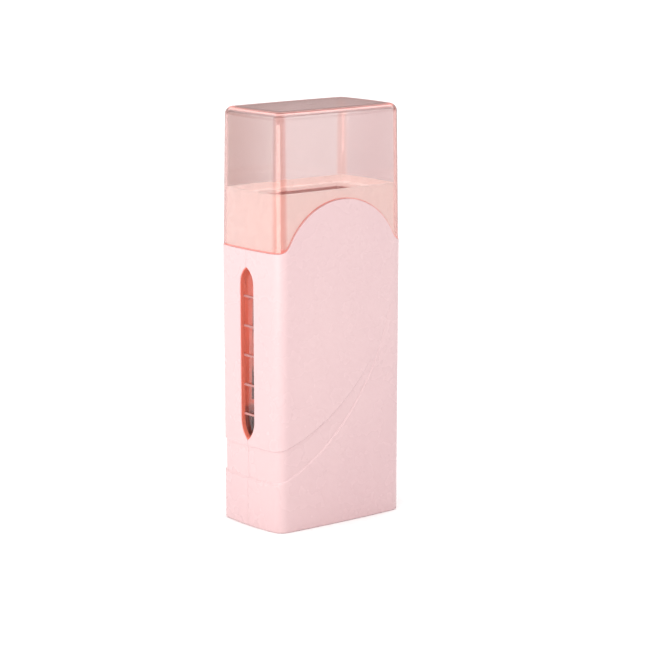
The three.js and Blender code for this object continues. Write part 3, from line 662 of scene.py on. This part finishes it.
heater_look = metal("heater_case", srgb(150, 153, 157), srgb(118, 121, 126), (0.38, 0.52), (0.1, 1, 1))
steel_look = metal("steel", srgb(190, 192, 195), srgb(158, 160, 164), (0.22, 0.34), (1, 1, 0.1))
film_look = insulating_film()
thermostat_look = moulded("thermostat_resin", srgb(48, 48, 51), srgb(36, 36, 39), (0.4, 0.55), 0.008)
fuse_look = moulded("fuse_ceramic", srgb(222, 219, 210), srgb(208, 204, 194), (0.35, 0.5), 0.008)
inlet_look = moulded("inlet_resin", srgb(46, 45, 48), srgb(36, 35, 38), (0.38, 0.5), 0.01)
live_look = moulded("live_wire_sheath", srgb(184, 56, 46), srgb(166, 46, 38), (0.4, 0.55), 0.01)
neutral_look = moulded("neutral_wire_sheath", srgb(232, 228, 223), srgb(220, 215, 208), (0.4, 0.55), 0.01)


# ---- Booleans and rounded solids ----

def rounded_plan(width, depth, radius, segments=(12, 12, 24)):
    """Full loop of a rounded rectangle, with its points dealt out like the case outline's."""
    x, y = width / 2, depth / 2
    side = [(-x, -(y - radius) * i / segments[0]) for i in range(segments[0])]
    corner = []
    for i in range(segments[1]):
        angle = math.pi + math.pi / 2 * i / segments[1]
        corner.append((radius - x + radius * math.cos(angle), radius - y + radius * math.sin(angle)))
    face = [((radius - x) * (1 - i / segments[2]), -y) for i in range(segments[2] + 1)]
    quarter = np.array(side + corner + face)
    half = np.vstack([quarter, (quarter * [-1, 1])[::-1][1:]])
    return np.vstack([half, (half * [1, -1])[::-1][1:-1]])


def flat_ring(loop, z):
    return np.column_stack([loop, np.broadcast_to(z, len(loop))])


def case_ring(inset, z):
    return flat_ring(LOOP_P - LOOP_N * inset, z)


def rounded_steps(edge, steps=5):
    """Pairs of inset and height over a quarter round of that radius, from the flat end to the side."""
    angles = np.linspace(0, math.pi / 2, steps)
    return [(edge * (1 - math.sin(a)), edge * (1 - math.cos(a))) for a in angles]


def pill(outline, low, high, edge, axes=(0, 1, 2)):
    """Closed solid of outline(inset), drawn from low to high along the last axis, with rounded end edges."""
    rings = []
    for inset, rise in rounded_steps(edge):
        rings.append(flat_ring(outline(inset), low + rise))
    for inset, rise in reversed(rounded_steps(edge)):
        rings.append(flat_ring(outline(inset), high - rise))
    verts, faces = ring_solid(rings)
    order = np.argsort(axes)
    return verts[:, order], faces


def block_outline(low, high, radius):
    """Outline of a rounded rectangle between two corners, drawn in by an inset."""
    middle = (np.array(low) + np.array(high)) / 2
    size = np.array(high) - np.array(low)
    def outline(inset):
        corner = max(radius - inset, 0.02)
        return middle + rounded_plan(size[0] - 2 * inset, size[1] - 2 * inset, corner, (2, 4, 2))
    return outline


def stadium_outline(length, height, centre_z):
    def outline(inset):
        return np.array([0, centre_z]) + rounded_plan(
            length - 2 * inset, height - 2 * inset, height / 2 - inset - 0.005, (2, 16, 4)
        )
    return outline


def round_outline(x, z, radius, count=40):
    def outline(inset):
        angles = np.linspace(0, 2 * math.pi, count, endpoint=False)
        return np.column_stack([x + (radius - inset) * np.cos(angles), z + (radius - inset) * np.sin(angles)])
    return outline


def tool_solid(verts, faces):
    mesh = bpy.data.meshes.new("tool")
    mesh.from_pydata([tuple(v) for v in np.asarray(verts) * MM], [], faces)
    tool = bpy.data.objects.new("tool", mesh)
    bpy.context.scene.collection.objects.link(tool)
    weld(tool)
    return tool


def carve_with(obj, operation, tool):
    """Applies a boolean with tool, which is then removed."""
    modifier = obj.modifiers.new("carve", "BOOLEAN")
    modifier.operation = operation
    modifier.solver = "EXACT"
    modifier.object = tool
    evaluated = obj.evaluated_get(bpy.context.evaluated_depsgraph_get())
    mesh = bpy.data.meshes.new_from_object(evaluated)
    obj.modifiers.clear()
    spare = obj.data
    obj.data = mesh
    bpy.data.meshes.remove(spare)
    bpy.data.meshes.remove(tool.data)
    obj.data.polygons.foreach_set("use_smooth", [True] * len(obj.data.polygons))
    obj.data.set_sharp_from_angle(angle=SMOOTH_ANGLE)


def carve(obj, operation, *solids):
    for verts, faces in solids:
        carve_with(obj, operation, tool_solid(verts, faces))


# ---- Case shells ----

INLET_LOW, INLET_HIGH = (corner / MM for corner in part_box("inlet_housing"))
INLET_Z = (INLET_LOW.z + INLET_HIGH.z) / 2
SOCKET_LENGTH, SOCKET_HEIGHT, SOCKET_RIM = 14.6, 7.6, 1.2
INLET_REACH = 3
GAP = 0.3
SCREW_NAMES = ("case_screw_1", "case_screw_2", "case_screw_3", "case_screw_4")
SCREW_BOXES = [[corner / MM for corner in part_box(name)] for name in SCREW_NAMES]
SCREW_PLACES = [((low.x + high.x) / 2, (low.z + high.z) / 2) for low, high in SCREW_BOXES]
SEAT_Y, SEAT_THICKNESS = 19.0, 1.1
HEAD_TOP_Y = SCREW_BOXES[0][1].y
HEAD_RADIUS = (SCREW_BOXES[0][1].x - SCREW_BOXES[0][0].x) / 2
BOSS_RADIUS = 4.0
ROOT = 1.3


def build_shells():
    verts, faces = half_shell()
    look = shell_look.material
    front = make_object("front_case_shell", verts, faces, look, replaces=["front_shell"])
    weld(front)
    mirrored = verts * [1, -1, 1]
    back = make_object("back_case_shell", mirrored, faces, look, replaces=["back_shell"])
    weld(back)
    xzy = (0, 2, 1)
    core = ring_solid([case_ring(body_inset(z) + ROOT, z) for z in (FLOOR / 2, JOINT_Z)])
    for x, z in SCREW_PLACES:
        boss = tool_solid(*pill(round_outline(x, z, BOSS_RADIUS), SEAT_Y - SEAT_THICKNESS, DEPTH, 0.3, xzy))
        carve(boss, "INTERSECT", core)
        carve_with(back, "UNION", boss)
    bores = [pill(round_outline(x, z, HEAD_RADIUS + GAP), SEAT_Y, DEPTH, 0.1, xzy) for x, z in SCREW_PLACES]
    carve(back, "DIFFERENCE", *bores)
    growth = 2 * (SOCKET_RIM + GAP)
    mouth = stadium_outline(SOCKET_LENGTH + growth, SOCKET_HEIGHT + growth, INLET_Z)
    opening = pill(mouth, INLET_HIGH.x - INLET_REACH, WIDTH, 0.1, (1, 2, 0))
    for half in (front, back):
        carve(half, "DIFFERENCE", opening)


build_shells()

# ---- Cap ----

def crown_rings(inset, top, edge, dome, bottom_rows, gap):
    """Rings of a domed cover from its arched bottom up: its outside or its inside, at that inset."""
    bottom = arch_z(LOOP_P[:, 0], gap)
    side_top = top - edge
    rings = []
    for f in bottom_rows:
        z = bottom + (side_top - bottom) * f
        rings.append(np.column_stack([LOOP_P - LOOP_N * (inset + cap_inset(z))[:, None], z]))
    for angle in np.linspace(0, math.pi / 2, 13)[1:]:
        z = side_top + edge * math.sin(angle)
        rings.append(case_ring(inset + cap_inset(side_top) + edge * (1 - math.cos(angle)), z))
    rim = rings[-1][:, :2]
    for f in np.linspace(1, 0, 15)[1:-1]:
        rings.append(flat_ring(rim * f, top + dome * (1 - f ** 2)))
    return rings


RIM_ROUND = ((0.134, 0.5), (0.5, 0.866), (1.0, 1.0))


def rim_step(edge, sideways, down):
    """Moves for the rim's points: outwards by a share of the radius edge, and up by what down leaves of it."""
    return np.column_stack([LOOP_N * edge * sideways, np.full(len(LOOP_N), edge * (1 - down))])


def build_cap():
    rows = [0.0, 0.006, 0.02, *np.linspace(0.06, 1, 26)]
    crown_z = HEIGHT - CAP_DOME - NUB_HEIGHT
    outer = crown_rings(CAP_STEP, crown_z, CAP_EDGE, CAP_DOME, rows, CAP_GAP)
    inner_top = crown_z - CAP_WALL
    inner = crown_rings(CAP_STEP + CAP_WALL, inner_top, CAP_EDGE - CAP_WALL, CAP_DOME, rows, CAP_GAP)
    edge = CAP_RIM_RADIUS
    low_outer, low_inner = outer[0].copy(), inner[0].copy()
    outer[0] = outer[0] + [0, 0, edge]
    rim = [low_outer + rim_step(edge, -s, t) for s, t in RIM_ROUND]
    far = [low_inner + rim_step(edge, s, t) for s, t in reversed(RIM_ROUND)]
    inner[0] = inner[0] + [0, 0, edge]
    rings = outer[::-1] + rim + far + inner
    verts, faces = ring_solid(rings)
    cap = make_object("clear_cap", verts, faces, cap_look.material, "cap", ["cap"])
    weld(cap)
    cap.data.materials.append(cap_rim_painted_glow_look.material)
    nub = pill(round_outline(*NUB_PLACE, NUB_RADIUS), HEIGHT - 5 * NUB_HEIGHT, HEIGHT - 0.01, 0.08)
    carve(cap, "UNION", nub)
    for face in cap.data.polygons:
        place = face.center / MM
        if place.z < float(arch_z(place.x)) + CAP_GAP + CAP_RIM:
            face.material_index = 1


build_cap()

# ---- Collar under the cap ----

COLLAR_LOW, COLLAR_HIGH = (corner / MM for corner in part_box("collar"))
COLLAR_INSET, COLLAR_WALL = 2.3, 2.2
COLLAR_EDGE = 0.9
DECK_Z, DECK_THICKNESS = 162.4, 1.6
LOCK_HEIGHT, LOCK_REACH = 1.6, 0.7
CHAMBER_WIDTH, CHAMBER_DEPTH, BORE_CORNER = 60.4, 32.4, 2.0


def build_collar():
    top, base = COLLAR_HIGH.z, COLLAR_LOW.z
    def wall(extra, z):
        return case_ring(COLLAR_INSET + cap_inset(z) + extra, z)
    rings = [case_ring(COLLAR_INSET - LOCK_REACH, z) for z in (base, base + LOCK_HEIGHT)]
    rings.append(wall(0, base + LOCK_HEIGHT))
    rings += [wall(0, z) for z in np.linspace(base + LOCK_HEIGHT + 0.4, top - COLLAR_EDGE - 0.3, 12)]
    for angle in np.linspace(0, math.pi / 2, 8):
        rings.append(wall(COLLAR_EDGE * (1 - math.cos(angle)), top - COLLAR_EDGE * (1 - math.sin(angle))))
    lip = 0.45
    for angle in np.linspace(0, math.pi / 2, 6):
        rings.append(wall(COLLAR_WALL - lip * (1 - math.sin(angle)), top - lip * (1 - math.cos(angle))))
    foot = 0.5
    for angle in np.linspace(0, math.pi / 2, 6):
        rings.append(wall(COLLAR_WALL + foot * (1 - math.cos(angle)), DECK_Z + foot * (1 - math.sin(angle))))
    edge = 0.35
    mouth = rounded_plan(CHAMBER_WIDTH, CHAMBER_DEPTH, BORE_CORNER)
    wide = rounded_plan(CHAMBER_WIDTH + 2 * edge, CHAMBER_DEPTH + 2 * edge, BORE_CORNER + edge)
    inner = rings[-1][:, :2]
    for f in (0.3, 0.7, 0.95):
        rings.append(flat_ring(inner + (wide - inner) * f, DECK_Z))
    for angle in np.linspace(0, math.pi / 2, 5):
        loop = mouth + (wide - mouth) * (1 - math.sin(angle))
        rings.append(flat_ring(loop, DECK_Z - edge * (1 - math.cos(angle))))
    under = DECK_Z - DECK_THICKNESS
    rings.append(flat_ring(mouth, under))
    rings.append(wall(COLLAR_WALL, under))
    rings += [wall(COLLAR_WALL, z) for z in np.linspace(under - 3, base, 6)]
    verts, faces = ring_solid(rings, closed_ends=False)
    count, last = len(rings[0]), (len(rings) - 1) * len(rings[0])
    faces += bridge([last + i for i in range(count)], list(range(count)))
    look = collar_look.material
    weld(make_object("collar_ring", verts, faces, look, replaces=["collar"]))


build_collar()

# ---- Sight window ----

LENS_LOW, LENS_HIGH = (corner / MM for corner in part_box("window_lens"))
LENS_BACK_X = LENS_HIGH.x
LENS_THICKNESS = 1.4
BAR_COUNT, BAR_FIRST_Z, BAR_PITCH = 5, 55.6, 14.6
BAR_HEIGHT, BAR_HALF_WIDTH = 1.2, 4.9


def build_window():
    yzx = (1, 2, 0)
    plate = block_outline((LENS_LOW.y, LENS_LOW.z), (LENS_HIGH.y, LENS_HIGH.z), 1.2)
    front_x = LENS_BACK_X - LENS_THICKNESS
    verts, faces = pill(plate, front_x, LENS_BACK_X, 0.15, yzx)
    lens = make_object("sight_lens", verts, faces, lens_look.material, replaces=["window_lens"])
    weld(lens)
    for i in range(BAR_COUNT):
        z = BAR_FIRST_Z + i * BAR_PITCH
        low, high = z - BAR_HEIGHT / 2, z + BAR_HEIGHT / 2
        outline = block_outline((-BAR_HALF_WIDTH, low), (BAR_HALF_WIDTH, high), 0.4)
        verts, faces = pill(outline, LENS_LOW.x, front_x - 0.02, 0.2, yzx)
        bar = make_object(f"sight_bar_{i + 1}", verts, faces, bar_look.material)
        weld(bar)


SURROUND_WALL = 0.28
SURROUND_SET_BACK = 0.5
GAP_STRIP_HALF_WIDTH, GAP_STRIP_PROUD = 0.7, 0.25
RAIL_HEIGHT, RAIL_PROUD, RAIL_SEAT, RAIL_END = 1.0, 0.15, 0.52, 2


def build_surround():
    """Lining of the sight slit, from just inside the case's surface to the lens."""
    rise = (1 - np.cos(np.linspace(0, math.pi, 90))) / 2
    z = SLIT_LOW_Z + 0.3 + (SLIT_HIGH_Z - SLIT_LOW_Z - 0.6) * rise
    half = slit_half(z) - 0.03
    outer = np.vstack([np.column_stack([half, z]), np.column_stack([-half, z])[::-1]])
    thin = np.maximum(half - SURROUND_WALL, 0.01)
    middle = (SLIT_LOW_Z + SLIT_HIGH_Z) / 2
    inner_z = middle + (z - middle) * (1 - 2 * SURROUND_WALL / (SLIT_HIGH_Z - SLIT_LOW_Z))
    inner = np.vstack([np.column_stack([thin, inner_z]), np.column_stack([-thin, inner_z])[::-1]])
    face_x = SIDE_R - np.sqrt(SIDE_R ** 2 - outer[:, 0] ** 2) - WIDTH / 2
    lip_x = face_x + body_inset(outer[:, 1]) + SURROUND_SET_BACK
    back_x = np.full(len(outer), LENS_BACK_X - LENS_THICKNESS - 0.02)
    loops = ((outer, lip_x), (inner, lip_x), (inner, back_x), (outer, back_x))
    verts = np.vstack([np.column_stack([x, loop]) for loop, x in loops])
    count, faces = len(outer), []
    for k in range(4):
        near = [k * count + i for i in range(count)]
        far = [(k + 1) % 4 * count + i for i in range(count)]
        faces += bridge(near, far)
    surround = make_object("sight_surround", verts, faces, surround_look.material)
    weld(surround)


def build_plate_trim():
    """Dark strips of painted shade down the sides of both heat plates, standing in for the shaded gaps there,
    and guide rails over them, as the sight window shows.
    """
    xzy = (0, 2, 1)
    for place, side in (("front", -1), ("rear", 1)):
        low, high = (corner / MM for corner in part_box(f"{place}_heat_plate"))
        wall_y = side * CHAMBER_DEPTH / 2
        near, far = sorted((wall_y - side * GAP_STRIP_PROUD, wall_y - side * 0.01))
        # Painted shade strips at both ends of each plate.
        for x, end in ((low.x, "window"), (high.x, "inlet")):
            outline = block_outline((x - GAP_STRIP_HALF_WIDTH, low.z), (x + GAP_STRIP_HALF_WIDTH, high.z - 0.1), 0.3)
            verts, faces = pill(outline, near, far, 0.1, xzy)
            weld(make_object(f"{place}_plate_gap_shade_strip_{end}", verts, faces, gap_shade_strip_look.material))
        rail_low = high.z + GAP
        near, far = sorted((wall_y - side * (RAIL_SEAT + RAIL_PROUD), wall_y - side * RAIL_SEAT))
        half = CHAMBER_WIDTH / 2 - RAIL_END
        outline = block_outline((-half, rail_low), (half, rail_low + RAIL_HEIGHT), 0.2)
        verts, faces = pill(outline, near, far, 0.06, xzy)
        weld(make_object(f"{place}_guide_rail_face", verts, faces, rail_look.material))


build_window()
build_surround()
build_plate_trim()

# ---- Case screws ----

CROSS_REACH, CROSS_HALF, CROSS_DEPTH = 1.6, 0.35, 1.1
SHANK_RADIUS, SHANK_TIP = 1.25, 0.9
HEAD_EDGE = 0.5
THREAD_PITCH, THREAD_DEPTH = 1.2, 0.22


def build_screws():
    xzy = (0, 2, 1)
    for name, (low, high), (x, z) in zip(SCREW_NAMES, SCREW_BOXES, SCREW_PLACES):
        verts, faces = pill(round_outline(x, z, HEAD_RADIUS), SEAT_Y, HEAD_TOP_Y, HEAD_EDGE, xzy)
        screw = make_object(f"{name}_head", verts, faces, steel_look.material, replaces=[name])
        weld(screw)
        for reach, width in ((CROSS_REACH, CROSS_HALF), (CROSS_HALF, CROSS_REACH)):
            outline = block_outline((x - reach, z - width), (x + reach, z + width), 0.1)
            carve(screw, "DIFFERENCE", pill(outline, HEAD_TOP_Y - CROSS_DEPTH, HEAD_TOP_Y + 1, 0.05, xzy))
        turns = int((SEAT_Y - low.y - 2) / THREAD_PITCH)
        rings = [flat_ring(round_outline(x, z, SHANK_RADIUS * 0.4, 24)(0), low.y)]
        for i in range(4 * turns):
            depth = THREAD_DEPTH * (1, 0.4, 0, 0.4)[i % 4]
            y = low.y + SHANK_TIP + i * THREAD_PITCH / 4
            rings.append(flat_ring(round_outline(x, z, SHANK_RADIUS - depth, 24)(0), y))
        rings.append(flat_ring(round_outline(x, z, SHANK_RADIUS, 24)(0), SEAT_Y - 0.02))
        verts, faces = ring_solid(rings)
        shank = make_object(f"{name}_shank", verts[:, [0, 2, 1]], faces, steel_look.material)
        weld(shank)


build_screws()

# ---- Finish of the CAD parts that stay in view or inside ----

CAD_LOOKS = {
    "chamber_liner": liner_look, "chamber_floor": floor_look,
    "front_heat_plate": plate_look, "rear_heat_plate": plate_look,
    "front_heater": heater_look, "rear_heater": heater_look,
    "front_insulator": film_look, "rear_insulator": film_look,
    "front_clip": steel_look, "rear_clip": steel_look,
    "thermostat": thermostat_look, "thermal_fuse": fuse_look,
    "inlet_housing": inlet_look, "inlet_pin_live": steel_look, "inlet_pin_neutral": steel_look,
    "live_lead": live_look, "thermostat_lead": live_look, "heater_link_lead": live_look,
    "neutral_lead": neutral_look, "fuse_lead": neutral_look,
}
for node_name, node_look in CAD_LOOKS.items():
    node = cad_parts[node_name]
    node.data.materials.clear()
    node.data.materials.append(node_look.material)

# ---- Floor, light and camera ----

FLOOR_HALF = 4.0
WORLD_STRENGTH = 1.48
HORIZON_GREY, ROOM_WALL = (0.72, 0.72, 0.72, 1), (0.36, 0.27, 0.26, 1)
LIGHT_BOUNCES = 24
# Name, place, size, power, colour, and the point it faces
LIGHTS = (
    ("left_softbox", (-1.3, -0.12, 0.55), (0.6, 1.15), 4.6, (1.0, 0.97, 0.91), (0, 0, 0.3)),
    ("low_strip", (-0.47, -0.29, 0.11), (0.36, 0.11), 0.62, (1.0, 0.97, 0.93), (0, 0, 0.11)),
)


def build_stage():
    half = FLOOR_HALF
    corners = [(-half, -half, 0), (half, -half, 0), (half, half, 0), (-half, half, 0)]
    mesh = bpy.data.meshes.new("floor")
    mesh.from_pydata(corners, [], [(0, 1, 2, 3)])
    floor = bpy.data.objects.new("floor", mesh)
    bpy.context.scene.collection.objects.link(floor)
    look = Look("floor_paper", IOR=1.4, Specular_IOR_Level=0.2)
    grain = look.noise(3, 4)
    look.colour(look.ramp(grain, (0.3, (0.94, 0.94, 0.94, 1)), (0.7, (0.97, 0.97, 0.97, 1))))
    look.rough(grain, 0.8, 0.9)
    mesh.materials.append(look.material)


def add_light(name, place, size, power, colour, target):
    data = bpy.data.lights.new(name, "AREA")
    data.shape = "RECTANGLE"
    data.size, data.size_y = size
    data.energy = power
    data.color = colour
    lamp = bpy.data.objects.new(name, data)
    lamp.location = place
    lamp.rotation_euler = (Vector(target) - Vector(place)).to_track_quat("-Z", "Y").to_euler()
    bpy.context.scene.collection.objects.link(lamp)


AZIMUTH, ELEVATION, DISTANCE = -39.26, 10.91, 1250.31
AIM_Z = 102.5
AIM_RIGHT, AIM_UP = 5.40, -5.66
LENS_MM, SENSOR_MM = 141.4, 36.0


def build_camera():
    a, e = math.radians(AZIMUTH), math.radians(ELEVATION)
    back = Vector((math.sin(a) * math.cos(e), -math.cos(a) * math.cos(e), math.sin(e)))
    right = Vector((math.cos(a), math.sin(a), 0))
    up = back.cross(right)
    data = bpy.data.cameras.new("camera")
    data.lens, data.sensor_width = LENS_MM, SENSOR_MM
    data.clip_start, data.clip_end = 0.01, 50
    camera = bpy.data.objects.new("camera", data)
    camera.location = (Vector((0, 0, AIM_Z)) + back * DISTANCE + right * AIM_RIGHT + up * AIM_UP) * MM
    camera.rotation_euler = back.to_track_quat("Z", "Y").to_euler()
    bpy.context.scene.collection.objects.link(camera)
    bpy.context.scene.camera = camera


def build_world():
    """White overhead, with a dim warm band above the horizon for the clear parts to reflect."""
    world = bpy.data.worlds.new("studio")
    world.use_nodes = True
    background = world.node_tree.nodes["Background"]
    tree = world.node_tree
    direction = tree.nodes.new("ShaderNodeTexCoord")
    parts = tree.nodes.new("ShaderNodeSeparateXYZ")
    ramp = tree.nodes.new("ShaderNodeValToRGB")
    tree.links.new(direction.outputs["Generated"], parts.inputs[0])
    tree.links.new(parts.outputs["Z"], ramp.inputs["Fac"])
    sky = ((0.0, HORIZON_GREY), (0.004, ROOM_WALL), (0.28, ROOM_WALL), (0.55, (1, 1, 1, 1)))
    while len(ramp.color_ramp.elements) < len(sky):
        ramp.color_ramp.elements.new(0.5)
    for element, (at, colour) in zip(ramp.color_ramp.elements, sky):
        element.position, element.color = at, colour
    tree.links.new(ramp.outputs["Color"], background.inputs["Color"])
    background.inputs["Strength"].default_value = WORLD_STRENGTH
    bpy.context.scene.world = world


build_stage()
build_world()
build_camera()
for lamp_settings in LIGHTS:
    add_light(*lamp_settings)
bpy.context.scene.view_settings.view_transform = "Standard"
bpy.context.scene.cycles.max_bounces = LIGHT_BOUNCES
bpy.context.scene.cycles.transmission_bounces = LIGHT_BOUNCES
